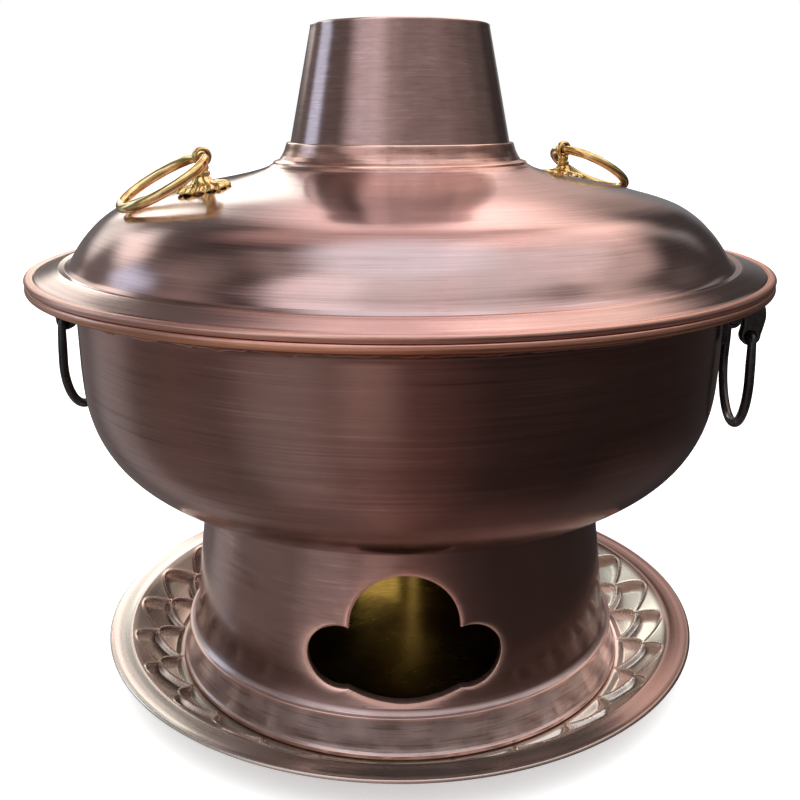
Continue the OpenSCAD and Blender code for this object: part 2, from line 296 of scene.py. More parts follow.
def polished_brass():
    m, N = material("polished_brass")
    tc = N.new("ShaderNodeTexCoord")
    soft = N.noise3(tc.outputs["Object"], 180, 3.0, 0.5)
    grain = N.noise3(tc.outputs["Object"], 1800, 3.0, 0.6)
    pit = N.noise3(tc.outputs["Object"], 700, 2.0, 0.5)
    base = N.mix(N.ramp(soft, 0.32, 0.68), rgb(.74, .50, .17), rgb(.95, .74, .36))
    base = N.mix(N.math("MULTIPLY", N.ramp(pit, 0.62, 0.75), 0.5), base, rgb(.40, .22, .06))
    bump = N.new("ShaderNodeBump")
    bump.inputs["Strength"].default_value = 0.3
    bump.inputs["Distance"].default_value = 0.00015
    N.put(bump.inputs["Height"], N.math("MULTIPLY_ADD", grain, 0.25, soft))
    surface(N, Base_Color=base, Metallic=1.0, Roughness=N.math("MULTIPLY_ADD", grain, 0.16, 0.06), Normal=bump.outputs[0])
    return m


M_BRASS = polished_brass()


def black_iron():
    m, N = material("black_lacquered_iron")
    tc = N.new("ShaderNodeTexCoord")
    soft = N.noise3(tc.outputs["Object"], 240, 3.0, 0.55)
    chip = N.noise3(tc.outputs["Object"], 620, 4.0, 0.7)
    base = N.mix(N.ramp(soft, 0.3, 0.7), rgb(.003, .003, .003), rgb(.010, .009, .009))
    base = N.mix(N.math("MULTIPLY", N.ramp(chip, 0.66, 0.74), 0.6), base, rgb(.16, .10, .08))
    bump = N.new("ShaderNodeBump")
    bump.inputs["Strength"].default_value = 0.4
    bump.inputs["Distance"].default_value = 0.0001
    N.put(bump.inputs["Height"], soft)
    surface(N, Base_Color=base, Metallic=0.1, Roughness=N.math("MULTIPLY_ADD", chip, 0.25, 0.14),
            Specular_IOR_Level=0.45, Coat_Weight=0.45, Coat_Roughness=0.06, Normal=bump.outputs[0])
    return m


M_IRON = black_iron()


def raw_iron():
    m, N = material("grate_iron")
    tc = N.new("ShaderNodeTexCoord")
    g = N.noise3(tc.outputs["Object"], 420, 5.0, 0.7)
    ash = N.noise3(tc.outputs["Object"], 40, 4.0, 0.6)
    base = N.mix(N.ramp(g, 0.3, 0.7), rgb(.025, .022, .020), rgb(.085, .07, .06))
    base = N.mix(N.math("MULTIPLY", N.ramp(ash, 0.5, 0.75), 0.5), base, rgb(.32, .30, .28))
    bump = N.new("ShaderNodeBump")
    bump.inputs["Strength"].default_value = 0.7
    bump.inputs["Distance"].default_value = 0.0005
    N.put(bump.inputs["Height"], g)
    surface(N, Base_Color=base, Metallic=0.3, Roughness=N.math("MULTIPLY_ADD", g, 0.3, 0.55), Normal=bump.outputs[0])
    return m


M_GRATE = raw_iron()


# ------------------------------------------------------------------ mesh helpers (millimetres in, metres out)
def make(name, verts, faces, mats, fmat=None, wear=None, smooth=True):
    me = bpy.data.meshes.new(name)
    me.from_pydata([(x * MM, y * MM, z * MM) for x, y, z in verts], [], faces)
    for m in mats:
        me.materials.append(m)
    if fmat:
        me.polygons.foreach_set("material_index", fmat)
    me.polygons.foreach_set("use_smooth", [smooth] * len(faces))
    if wear is not None:
        a = me.attributes.new("wear", "FLOAT", "POINT")
        a.data.foreach_set("value", wear)
    me.update()
    me.validate()
    ob = bpy.data.objects.new(name, me)
    bpy.context.scene.collection.objects.link(ob)
    return ob


def catmull(pts, n=8):
    out = []
    k = len(pts) - 1
    for i in range(k):
        a, b, c, d = pts[max(i - 1, 0)], pts[i], pts[i + 1], pts[min(i + 2, k)]
        for j in range(n):
            s = j / n
            out.append(tuple(0.5 * (2 * b[q] + (c[q] - a[q]) * s + (2 * a[q] - 5 * b[q] + 4 * c[q] - d[q]) * s * s
                                    + (3 * b[q] - a[q] - 3 * c[q] + d[q]) * s ** 3) for q in range(2)))
    out.append(tuple(pts[-1][:2]))
    return out


def rounded(pts, seg=6):
    """Path through points (r, z) or (r, z, fillet)."""
    out = [tuple(pts[0][:2])]
    for i in range(1, len(pts) - 1):
        p = Vector(pts[i][:2])
        rad = pts[i][2] if len(pts[i]) > 2 else 0
        if not rad:
            out.append(tuple(p))
            continue
        a, b = Vector(pts[i - 1][:2]) - p, Vector(pts[i + 1][:2]) - p
        la, lb = a.length, b.length
        ang = a.angle(b)
        t = min(rad / max(math.tan(ang / 2), 1e-3), la * 0.49, lb * 0.49)
        s, e = p + a / la * t, p + b / lb * t
        for j in range(seg + 1):
            u = j / seg
            out.append(tuple((1 - u) ** 2 * s + 2 * u * (1 - u) * p + u * u * e))
    out.append(tuple(pts[-1][:2]))
    return out


def arc(cx, cy, r, a0, a1, n=14):
    return [(cx + r * math.cos(math.radians(a0 + (a1 - a0) * i / n)), cy + r * math.sin(math.radians(a0 + (a1 - a0) * i / n))) for i in range(n + 1)]


def dense(path, step=1.2, closed=False):
    out = []
    k = len(path)
    for i in range(k if closed else k - 1):
        a, b = path[i], path[(i + 1) % k]
        d = math.dist(a, b)
        if d < 1e-4:
            continue
        n = max(1, math.ceil(d / step))
        out += [(a[0] + (b[0] - a[0]) * j / n, a[1] + (b[1] - a[1]) * j / n) for j in range(n)]
    if not closed:
        out.append(path[-1])
    return out


def offset(path, t):
    """Path moved to its left by t."""
    out = []
    for i, p in enumerate(path):
        a, b = path[max(i - 1, 0)], path[min(i + 1, len(path) - 1)]
        dx, dy = b[0] - a[0], b[1] - a[1]
        l = math.hypot(dx, dy) or 1
        out.append((p[0] - dy / l * t, p[1] + dx / l * t))
    return out


def wear_of(path, sign=1.0, width=0.9, lo=0.10, hi=0.55):
    """Rubbed-edge amount along a path from its convex bends, spread over width mm."""
    k = len(path)
    raw, at = [0.0] * k, [0.0] * k
    for i in range(1, k):
        at[i] = at[i - 1] + math.dist(path[i - 1], path[i])
    for i in range(1, k - 1):
        a, p, b = path[i - 1], path[i], path[i + 1]
        t0, t1 = math.atan2(p[1] - a[1], p[0] - a[0]), math.atan2(b[1] - p[1], b[0] - p[0])
        turn = (t1 - t0 + math.pi) % TAU - math.pi
        raw[i] = sign * turn
    out = []
    for i in range(k):
        s = w = 0.0
        for j in range(max(0, i - 40), min(k, i + 41)):
            d = at[j] - at[i]
            if abs(d) < 3 * width:
                s += raw[j] * math.exp(-(d / width) ** 2)
        v = s / width
        v = min(1.0, max(0.0, (v - lo) / (hi - lo)))
        out.append(v * v * (3 - 2 * v))
    return out


def spin(name, path, mats, n=288, wear=None, mat=None, closed=True, warp=None, z_rows=None):
    """Surface of revolution of a closed loop of (r, z). mat gives a material index for each path point."""
    k = len(path)
    verts, w = [], []
    for j in range(n):
        a = TAU * j / n
        c, s = math.cos(a), math.sin(a)
        for i, (r, z) in enumerate(path):
            if warp:
                dr, dz = warp(i, a)
                r, z = r + dr, z + dz
            verts.append((r * c, r * s, z))
            w.append(wear[i] if wear else 0.0)
    faces, fm = [], []
    rows = k if closed else k - 1
    for j in range(n):
        q = (j + 1) % n
        for i in range(rows):
            p = (i + 1) % k
            faces.append((j * k + i, q * k + i, q * k + p, j * k + p))
            fm.append(mat[i] if mat else 0)
    return make(name, verts, faces, mats, fm, w)


def tube(name, path, radius, mats, sides=20, closed=False, up=(0, 0, 1), caps=True, shape=None):
    """Round wire along a path of 3D points."""
    P = [Vector(p) for p in path]
    k = len(P)
    verts, faces = [], []
    ref = Vector(up)
    for i in range(k):
        a = P[(i - 1) % k] if closed or i else P[i]
        b = P[(i + 1) % k] if closed or i < k - 1 else P[i]
        t = (b - a).normalized()
        n = (ref - t * ref.dot(t))
        n = n.normalized() if n.length > 1e-6 else t.orthogonal().normalized()
        ref = n
        bn = t.cross(n)
        rr = radius if shape is None else radius * shape(i / (k if closed else k - 1))
        for s in range(sides):
            ang = TAU * s / sides
            verts.append(tuple(P[i] + (n * math.cos(ang) + bn * math.sin(ang)) * rr))
    rows = k if closed else k - 1
    for i in range(rows):
        q = (i + 1) % k
        for s in range(sides):
            u = (s + 1) % sides
            faces.append((i * sides + s, i * sides + u, q * sides + u, q * sides + s))
    if caps and not closed:
        for e, i in ((0, 0), (1, k - 1)):
            t = (P[1] - P[0]).normalized() if e == 0 else (P[-1] - P[-2]).normalized()
            base = i * sides
            prev = [base + s for s in range(sides)]
            sgn = -1 if e == 0 else 1
            rr = radius if shape is None else radius * shape(i / (k - 1))
            for f in (0.35, 0.7, 0.92):
                ring = []
                for s in range(sides):
                    v = Vector(verts[base + s])
                    c = P[i]
                    verts.append(tuple(c + (v - c) * math.cos(f * math.pi / 2) + t * sgn * rr * 0.6 * math.sin(f * math.pi / 2)))
                    ring.append(len(verts) - 1)
                for s in range(sides):
                    u = (s + 1) % sides
                    faces.append((prev[s], ring[s], ring[u], prev[u]) if e == 0 else (prev[s], prev[u], ring[u], ring[s]))
                prev = ring
            verts.append(tuple(P[i] + t * sgn * rr * 0.6))
            tip = len(verts) - 1
            for s in range(sides):
                u = (s + 1) % sides
                faces.append((prev[s], tip, prev[u]) if e == 0 else (prev[s], prev[u], tip))
    return make(name, verts, faces, mats)


def place(ob, matrix):
    ob.data.transform(matrix)
    ob.data.update()
    return ob


def join(name, obs):
    """One object from several meshes that share their materials' order."""
    with bpy.context.temp_override(active_object=obs[0], selected_editable_objects=obs, object=obs[0], selected_objects=obs):
        bpy.ops.object.join()
    obs[0].name = name
    obs[0].data.name = name
    return obs[0]


def settle(ob):
    """Applies the object's modifiers to its mesh."""
    dg = bpy.context.evaluated_depsgraph_get()
    me = bpy.data.meshes.new_from_object(ob.evaluated_get(dg), preserve_all_data_layers=True, depsgraph=dg)
    ob.modifiers.clear()
    old = ob.data
    ob.data = me
    bpy.data.meshes.remove(old)
    return ob


def step(x, a, b):
    t = min(1.0, max(0.0, (x - a) / (b - a)))
    return t * t * (3 - 2 * t)


# ------------------------------------------------------------------ bowl
bowl_out = rounded([(84.2, 92.0), (97.2, 92.0, 2.5), (99.5, 92.5)]) + catmull(
    [(101, 93.0), (109, 95.8), (121, 101.5), (131.5, 109), (139, 117), (144.3, 126), (147.5, 135), (149.3, 145), (150, 158)], 10)
bowl_out += rounded([(150, 160), (150, 188.2, 3.2), (159.5, 189.6, 2.0), (163.4, 191.5, 0.3), (163.7, 191.95, 0.15), (165.8, 193.0, 0.5), (166.6, 193.55, 0.2)])[1:]
bowl_out += arc(168.15, 194.95, 1.85, 232, 372, 20) + catmull([(169.94, 195.5), (169.80, 196.15), (169.45, 196.66), (168.9, 196.84), (168.15, 196.82)], 3)
bowl_in = rounded([(166.2, 196.6), (162.6, 194.4, 2.0), (159, 193.0), (150.6, 192.6, 3.0), (148.6, 188.5, 1.0), (148.6, 158)])
bowl_in += [p for p in reversed(offset(catmull([(101, 93.0), (109, 95.8), (121, 101.5), (131.5, 109), (139, 117), (144.3, 126), (147.5, 135), (149.3, 145), (150, 158)], 10), 1.4))][1:]
bowl_in += [(98.5, 93.6), (84.2, 93.4)]
bo = dense(bowl_out, 1.3)
bi = dense(bowl_in, 2.0)
bowl_path = bo + bi
bw = [w if p[1] < 185 else 0.0 for p, w in zip(bo, wear_of(bo, 1.0))] + [0.0] * len(bi)
rim_from = next(i for i, p in enumerate(bo) if p[0] > 163.45)
bmat = [0 if i < rim_from else 1 for i in range(len(bo))] + [2 if p[1] < 191.8 else 1 for p in bi]


def bowl_warp(i, a):
    if i < len(bo):
        r, z = bo[i]
        if r > 163.2 and z < 193.4:   # uneven lower edge of the rolled rim
            n1 = noise.noise(Vector((math.cos(a) * 19, math.sin(a) * 19, 3.0)))
            n2 = noise.noise(Vector((math.cos(a) * 52, math.sin(a) * 52, 9.0)))
            side = 0.45 + 0.55 * step(-math.cos(a), -0.3, 0.6)
            k = side * (0.70 + 2.4 * n1 + 1.6 * n2) * step(193.3 - z, 0.1, 1.2)
            return -0.95 * k, -0.85 * k
    return 0.0, 0.0


bowl = spin("bowl_shell", bowl_path, [M_BODY, M_RIM, M_TIN], 720, bw, bmat, warp=bowl_warp)
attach(bowl, "pot"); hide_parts("bowl")

# ------------------------------------------------------------------ fire tube
flue_r = lambda z: 40.15 + 0.206 * (304.9 - z)
fo = [(flue_r(z), z) for z in (94.8, 130, 180, 230, 270, 300)]
tube_out = rounded([(95.0, 93.5), (95.0, 94.8, 0.4), (flue_r(94.8) + 1.0, 94.8, 1.2), (flue_r(100), 100)]) + [(flue_r(z), z) for z in (130, 180, 230, 270, 300, 303.6)]
tube_out += arc(40.15 - 0.72 + 0.27, 304.1, 0.72, 12, 168, 8)
tube_in = [(flue_r(303.6) - 1.45, 303.6)] + [(flue_r(z) - 1.4, z) for z in (270, 220, 160, 120, 93.5)]
to, ti = dense(tube_out, 2.0), dense(tube_in, 3.0)
tw = wear_of(to, 1.0, 0.7)
flue = spin("fire_tube_cone", to + ti, [M_FLUE, M_TIN, M_INNER], 288, tw + [0.0] * len(ti),
            [1 if z < 196 else 0 for r, z in to] + [2] * len(ti))
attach(flue, "pot"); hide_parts("fire_tube")

# ------------------------------------------------------------------ lid
lid_out = arc(51.85, 253.2, 0.8, 200, 20, 12)
lid_out += rounded([(52.7, 252.8), (53.5, 250.6), (54.7, 248.2, 2.0), (56.0, 246.5, 0.5), (57.0, 246.2, 0.4), (58.6, 245.6, 0.6),
                    (59.1, 244.6, 0.5), (60.4, 243.9)])[1:]
lid_out += catmull([(61, 243.4), (64, 242.2), (70, 240.5), (80, 238.3), (95, 235.5), (105, 233.4), (114, 231.1), (122, 228.9), (129.2, 226.1),
                    (136.2, 221.6), (142.1, 216.1), (146.3, 211.1), (149.6, 206.1), (151.2, 203.9)], 8)
lid_out += rounded([(151.9, 203.2), (153.0, 202.55, 0.8), (155.6, 202.9, 0.9), (158.6, 202.1, 1.5), (163.8, 200.55, 0.7), (165.6, 200.05, 0.4), (166.3, 199.62, 0.2), (167.0, 199.72, 0.2)])[1:]
lid_out += arc(168.55, 198.6, 1.45, 126, -48, 16) + [(169.42, 197.25), (169.22, 197.02), (168.6, 197.0)]
lo = dense(lid_out, 1.2)
lid_in = rounded([(167.6, 197.35), (164.6, 197.9, 1.0), (158.5, 200.6), (154.0, 201.2, 1.0), (151.6, 201.6, 1.0), (149.9, 203.2)])
lid_in += [p for p in reversed(offset(catmull([(61, 243.4), (64, 242.2), (70, 240.5), (80, 238.3), (95, 235.5), (105, 233.4), (114, 231.1), (122, 228.9), (129.2, 226.1),
                    (136.2, 221.6), (142.1, 216.1), (146.3, 211.1), (149.6, 206.1)], 8), -1.3))]
lid_in += rounded([(57.8, 243.2, 1.0), (54.0, 246.6), (51.2, 252.4)])
li = dense(lid_in, 2.0)
lw = wear_of(lo, -1.0, 0.8)
lid_mat = [3 if z > 243.7 else 2 if r > 166.0 else 0 for r, z in lo] + [2 if r > 164.0 else 1 for r, z in li]
lid = spin("lid_dome", lo + li, [M_LID, M_TIN, M_RIM, M_COLLAR], 480, lw + [0.0] * len(li), lid_mat)
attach(lid, "lid"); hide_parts("lid_shell")

# ------------------------------------------------------------------ pedestal with its cloud-shaped vent
ped_low = rounded([(112.1, 1.6), (112.95, 1.6, 0.5), (113.3, 2.4, 0.5), (113.0, 3.5, 0.5), (111.9, 4.3, 0.6), (111.35, 5.6, 1.0), (110.9, 9)])
ped_low += catmull([(110.75, 10), (110.1, 14), (109.85, 17), (109.8, 18.2)], 5)
ped_low += rounded([(109.75, 18.6), (109.6, 19.5, 0.5), (108.3, 20.05, 0.6), (107.2, 21.0)])[1:]
ped_low += catmull([(106.9, 21.3), (105.9, 23.2), (105.2, 25.6), (104.75, 28.5), (104.4, 32)], 6)[1:]
ped_high = catmull([(104.4, 32), (103, 45), (101.5, 57), (100, 68), (98.8, 80), (98.0, 91.9)], 10)
po = dense(ped_low + ped_high[1:], 0.8)
pw = wear_of(po, 1.0, 0.8)


def ped_r(z):
    for (r0, z0), (r1, z1) in zip(po[:-1], po[1:]):
        if z0 <= z <= z1 and z1 > z0:
            return r0 + (r1 - r0) * (z - z0) / (z1 - z0)
    return po[-1][0] if z > 50 else po[0][0]


TURN = math.radians(1.2)
HALF = 60.0            # half width of the patch round the vent
Z0, Z1 = 22.0, 90.6    # its lower and upper edge


def cloud_r(phi, grow=0.0):
    """Distance from (0, 45) to the vent's outline along phi."""
    d = Vector((math.cos(phi), math.sin(phi)))
    best = 0.0
    for cx, cy, r in ((0, 12, 24 + grow), (28, -2, 14.3 + grow), (-28, -2, 14.3 + grow)):
        c = Vector((cx, cy))
        b = d.dot(c)
        disc = b * b - (c.dot(c) - r * r)
        if disc > 0:
            best = max(best, b + math.sqrt(disc))
    if d.y < 0:   # long flat arc along the bottom
        c, r = Vector((0, 38.0)), 59.3 + grow
        b = d.dot(c)
        disc = b * b - (c.dot(c) - r * r)
        t = b + math.sqrt(disc)
        p = d * t
        if abs(p.x) < 34.5:
            best = max(best, t)
    return best


def wall_point(u, z, inward=0.0):
    r = ped_r(z) - inward
    a = math.asin(max(-1, min(1, u / r))) + TURN
    return (r * math.sin(a), -r * math.cos(a), z)


zs = [p[1] for p in po]
rows_mid = [i for i, z in enumerate(zs) if Z0 <= z <= Z1]
i0, i1 = rows_mid[0], rows_mid[-1]
Z0, Z1 = zs[i0], zs[i1]
# wall apart from the patch, as strips of revolution
verts, faces, fm, ww = [], [], [], []
NA = 300
for i in range(len(po)):
    r, z = po[i]
    inside = i0 <= i <= i1
    a0 = math.asin(HALF / r)
    for j in range(NA + 1):
        a = (a0 + (TAU - 2 * a0) * j / NA) + TURN
        verts.append((r * math.sin(a), -r * math.cos(a), z)); ww.append(pw[i])
for i in range(len(po) - 1):
    for j in range(NA):
        b = i * (NA + 1) + j
        faces.append((b, b + 1, b + NA + 2, b + NA + 1))
# strips below and above the patch, across the front
NF = 90
for lo_i, hi_i in ((0, i0), (i1, len(po) - 1)):
    base = len(verts)
    n = hi_i - lo_i + 1
    for i in range(lo_i, hi_i + 1):
        r, z = po[i]
        for j in range(NF + 1):
            u = -HALF + 2 * HALF * j / NF
            a = math.asin(u / r) + TURN
            verts.append((r * math.sin(a), -r * math.cos(a), z)); ww.append(pw[i])
    for i in range(n - 1):
        for j in range(NF):
            b = base + i * (NF + 1) + j
            faces.append((b, b + 1, b + NF + 2, b + NF + 1))
# patch: rays from the outline out to a rectangle, the metal curling in at the outline
NP = 720
dist = [-4.2, -3.9, -3.2, -2.4, -1.7, -1.1, -0.6, -0.2, 0.2, 0.55, 0.95, 1.4, 1.9, 2.5, 3.2, 4.1, 5.4, 7.4, 10.0]
base = len(verts)
cols = 0
for j in range(NP):
    phi = TAU * j / NP
    ro = cloud_r(phi)
    d = Vector((math.cos(phi), math.sin(phi)))
    # the rectangle along this ray
    ts = []
    if abs(d.x) > 1e-6:
        ts.append((HALF if d.x > 0 else -HALF) / d.x)
    if abs(d.y) > 1e-6:
        ts.append(((Z1 - 45) if d.y > 0 else (Z0 - 45)) / d.y)
    tb = min(t for t in ts if t > 0)
    room = tb - ro
    col = []
    for q in dist:
        if q <= 0:   # the lip: turns inward and runs back into the wall
            k = -q / 4.2
            rr = ro - 0.55 * math.sin(min(1.0, k * 2.2) * math.pi / 2)
            col.append((rr, 0.35 + 3.9 * k, 1.0 - 0.75 * k))
        else:
            t = min(q, room * q / 10.0 if room < 10.0 else q)
            k = t / 2.2
            sink = 0.35 * math.exp(-(t / 0.7) ** 1.2) + 0.25 * math.exp(-(t / 2.6) ** 2)
            # wear: rubbed copper at the vent's edge, and a wider halo made stronger towards the left as a painted
            # highlight
            col.append((ro + t, sink * step(room, 0.3, 2.0), 0.95 * math.exp(-(t / 1.7) ** 2) + 0.62 * math.exp(-(t / 4.6) ** 2) * (0.55 - 0.45 * d.x)))
    if room > 10.0:
        for q in range(1, 9):
            t = 10.0 + (room - 10.0) * q / 8
            col.append((ro + t, 0.0, 0.0))
    else:
        for q in range(1, 9):
            col.append((ro + room, 0.0, 0.0))
    cols = len(col)
    for rr, inward, we in col:
        u, z = d.x * rr, 45 + d.y * rr
        verts.append(wall_point(u, z, inward)); ww.append(we)
for j in range(NP):
    q = (j + 1) % NP
    for i in range(cols - 1):
        a, b, c, e = base + j * cols + i, base + j * cols + i + 1, base + q * cols + i + 1, base + q * cols + i
        if (Vector(verts[b]) - Vector(verts[a])).length < 1e-5 and (Vector(verts[c]) - Vector(verts[e])).length < 1e-5:
            continue
        faces.append((a, b, c, e))
fm = [0] * len(faces)
# inner wall, open at the vent, in bare brass
pin = [p for p in dense(offset([p for i, p in enumerate(po) if i % 2 == 0], 1.15), 2.0)]
nb = len(verts)
NI = 300
inner_rows = len(pin)
for (r, z) in pin:
    for j in range(NI):
        a = TAU * j / NI + TURN
        verts.append((r * math.sin(a), -r * math.cos(a), z)); ww.append(0.0)


def in_vent(u, z, grow):
    d = Vector((u, z - 45))
    return d.length < cloud_r(math.atan2(d.y, d.x)) + grow if d.length > 1e-6 else True


for i in range(inner_rows - 1):
    for j in range(NI):
        q = (j + 1) % NI
        a = TAU * (j + 0.5) / NI
        r, z = pin[i]
        zm = (pin[i][1] + pin[i + 1][1]) / 2
        if math.cos(a) > 0 and in_vent(r * math.sin(a), zm, 0.6):
            continue
        faces.append((nb + i * NI + j, nb + (i + 1) * NI + j, nb + (i + 1) * NI + q, nb + i * NI + q))
        fm.append(1)
ped = make("pedestal_wall", verts, faces, [M_FOOT, M_INNER], fm, ww)
import bmesh
bm = bmesh.new()
bm.from_mesh(ped.data)
bmesh.ops.remove_doubles(bm, verts=bm.verts, dist=0.00002)
bmesh.ops.dissolve_degenerate(bm, dist=0.000005, edges=bm.edges)
bm.to_mesh(ped.data)
bm.free()
ped.data.polygons.foreach_set("use_smooth", [True] * len(ped.data.polygons))
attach(ped, "pot"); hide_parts("pedestal")

# ------------------------------------------------------------------ base tray with two rows of petals
PETALS = 25
PHASE = math.radians(7.86)
tray_floor = rounded([(0.0, 1.2), (112.6, 1.2, 1.5), (114.6, 1.55)])
wall = catmull([(114.6, 1.55), (119.6, 3.9), (125.9, 8.4), (131.4, 13.0), (136.9, 17.75)], 12)
wall_at = [0.0]
for q0, q1 in zip(wall[:-1], wall[1:]):
    wall_at.append(wall_at[-1] + math.dist(q0, q1))
wall_l = wall_at[-1]


def wall_rz(t):
    """Point and outward-up normal of the plain wall at t from 0 to 1."""
    d = t * wall_l
    for i in range(len(wall) - 1):
        if d <= wall_at[i + 1] or i == len(wall) - 2:
            k = (d - wall_at[i]) / (wall_at[i + 1] - wall_at[i])
            q0, q1 = wall[i], wall[i + 1]
            l = math.dist(q0, q1)
            return q0[0] + (q1[0] - q0[0]) * k, q0[1] + (q1[1] - q0[1]) * k, -(q1[1] - q0[1]) / l, (q1[0] - q0[0]) / l


DEEP = 2.1


def arch(t, a, shift, foot, tip, power):
    """Signed distance in mm inside one petal's outline, and how far across the petal the point is."""
    u = ((a / (TAU / PETALS) + shift + 0.5) % 1.0 - 0.5) * 2.0
    v = abs(u)
    f = 1.0 - v ** power
    slope = (tip - foot) * wall_l * power * v ** (power - 1.0) / 16.0
    return (foot + (tip - foot) * f - t) * wall_l / math.sqrt(1 + slope * slope), u


def bowl_of(d):
    """Round dishing of a petal, deepest at its middle."""
    k = max(0.0, min(1.0, 1.0 - d / 6.5))
    return DEEP * (1.0 - k * k)


def petal(t, a):
    """Height in mm over the plain wall and rubbed-edge amount; along the ridges the rubbed edge is partly real wear,
    partly a painted highlight line.
    """
    d1, u1 = arch(t, a, 0.0, 0.50, 0.975, 1.75)      # far row
    h1 = -0.85 * step(d1, 0.10, 1.2) - bowl_of(d1) + 0.55 * math.exp(-((d1 + 0.1) / 0.75) ** 2)
    w1 = 0.75 * math.exp(-((d1 - 0.05) / 0.55) ** 2)
    d0, u0 = arch(t, a, 0.5, 0.02, 0.515, 1.95)      # near row, laid over it
    h0 = 0.62 - 1.30 * step(d0, 0.35, 1.5) - bowl_of(d0)
    over = step(d0, -0.95, -0.05)
    w0 = math.exp(-((d0 - 0.12) / 0.50) ** 2)
    return h1 + (h0 - h1) * over, max(w1 * (1 - over), w0)


NR, NT = 84, 1600
verts, faces, ww, fm = [], [], [], []
tf = dense(tray_floor, 2.5)
brim = rounded([(137.1, 17.95), (138.0, 18.75, 0.7), (139.2, 18.75, 0.8), (141.2, 18.45), (144.8, 18.45), (146.8, 18.85)]) + arc(147.82, 18.3, 0.95, 120, -130, 16) + \
    rounded([(145.6, 17.2), (139.2, 17.15, 1.5), (136.6, 15.9), (131.2, 11.6), (125.7, 7.0), (119.8, 2.6), (116.0, 0.4, 2.0), (112.0, 0.0), (2.0, 0.0), (0.02, 0.0)])
brim_d = dense(brim, 1.5)
bwear = [0.22 * w for w in wear_of(brim_d[: len(brim_d) // 2], -1.0, 0.9, 0.2, 0.9)] + [0.0] * (len(brim_d) - len(brim_d) // 2)
rows = [("p", p, 0.0) for p in tf[1:]] + [("w", i / NR, 0.0) for i in range(1, NR)] + [("p", p, w) for p, w in zip(brim_d, bwear)]
for j in range(NT):
    a = TAU * j / NT
    c, s_ = math.cos(a), math.sin(a)
    for kind, p, w in rows:
        if kind == "p":
            r, z = p
            if z < 15.9 and 116.0 < r < 136.6:     # the embossing shows through on the underside
                t = (r - 114.6) / 22.3
                h = min(0.0, petal(t, a - PHASE)[0]) * step(t, 0.06, 0.18) * step(1 - t, 0.0, 0.05)
                _, _, nr, nz = wall_rz(t)
                r, z = r + nr * h, max(0.0, z + nz * h)
        else:
            h, w = petal(p, a - PHASE)
            fade = step(p, 0.0, 0.10)
            h *= fade * step(1 - p, 0.0, 0.03)
            w *= fade
            wr, wz, nr, nz = wall_rz(p)
            r, z = wr + nr * h, wz + nz * h
        verts.append((r * c, r * s_, z)); ww.append(w)
K = len(rows)
for j in range(NT):
    q = (j + 1) % NT
    for i in range(K - 1):
        faces.append((j * K + i, q * K + i, q * K + i + 1, j * K + i + 1))
verts.append((0, 0, 1.2)); ww.append(0.0)
c0 = len(verts) - 1
verts.append((0, 0, 0.0)); ww.append(0.0)
c1 = len(verts) - 1
for j in range(NT):
    q = (j + 1) % NT
    faces.append((c0, q * K, j * K))
    faces.append((c1, j * K + K - 1, q * K + K - 1))
in_ash = len(tf) - 1
fm = [1 if (i < in_ash and rows[i][1][0] < 104) else 0 for j in range(NT) for i in range(K - 1)] + [1, 0] * NT
tray = make("petal_tray", verts, faces, [M_TRAY, M_INNER], fm, ww)
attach(tray, "tray"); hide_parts("base_tray")

# ------------------------------------------------------------------ brass lid handles
KNOB_R, EYE_Z, KNOB = 95.0, 249.0, math.radians(28.4)


def knob_frame(side):
    return Matrix.Rotation(KNOB + (math.pi if side < 0 else 0), 4, "Z") @ Matrix.Translation((KNOB_R * MM, 0, 0))


def rosette(name, side):
    LOBES, NA_, rows_ = 12, 288, []
    verts, faces = [], []
    prof = [(2.1, 5.5), (2.6, 5.45), (3.2, 5.0), (3.7, 4.3), (4.3, 3.5), (5.1, 2.8), (6.0, 2.35), (7.0, 2.1), (8.0, 1.9), (9.0, 1.65), (9.9, 1.3), (10.7, 0.85), (11.4, 0.3), (11.8, -0.2)]
    under = [(11.6, -0.5), (10.8, -0.25), (9.6, 0.35), (8.0, 0.75), (5.0, 0.9), (2.1, 1.0)]
    for j in range(NA_):
        a = TAU * j / NA_
        lobe = abs(math.cos(a * LOBES / 2)) ** 0.7        # 1 at a lobe's crown, 0 in the notch
        for k_, (r, z) in enumerate(prof + under):
            out = step(r, 4.0, 11.0)
            rr = r * (1.03 - 0.16 * (1 - lobe) * out)
            zz = z + out * (1.25 * lobe - 0.45) * (1.0 - 0.25 * step(r, 10.6, 11.9)) - 0.15 * (1 - lobe) * step(r, 9.0, 11.6)
            verts.append((rr * math.cos(a), rr * math.sin(a), zz))
    k = len(prof) + len(under)
    for j in range(NA_):
        q = (j + 1) % NA_
        for i in range(k):
            p = (i + 1) % k
            faces.append((j * k + i, q * k + i, q * k + p, j * k + p))
    ob = make(name, verts, faces, [M_BRASS])
    slope = Matrix.Translation((0, 0, 235.9 * MM)) @ Matrix.Rotation(math.radians(9), 4, "Y")
    place(ob, knob_frame(side) @ slope)
    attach(ob, "lid")
    return ob


def lathe_z(name, prof, mats, n=48):
    """Small turned piece on the local Z axis, closed at both ends where the radius is 0."""
    return spin(name, prof, mats, n, closed=False)


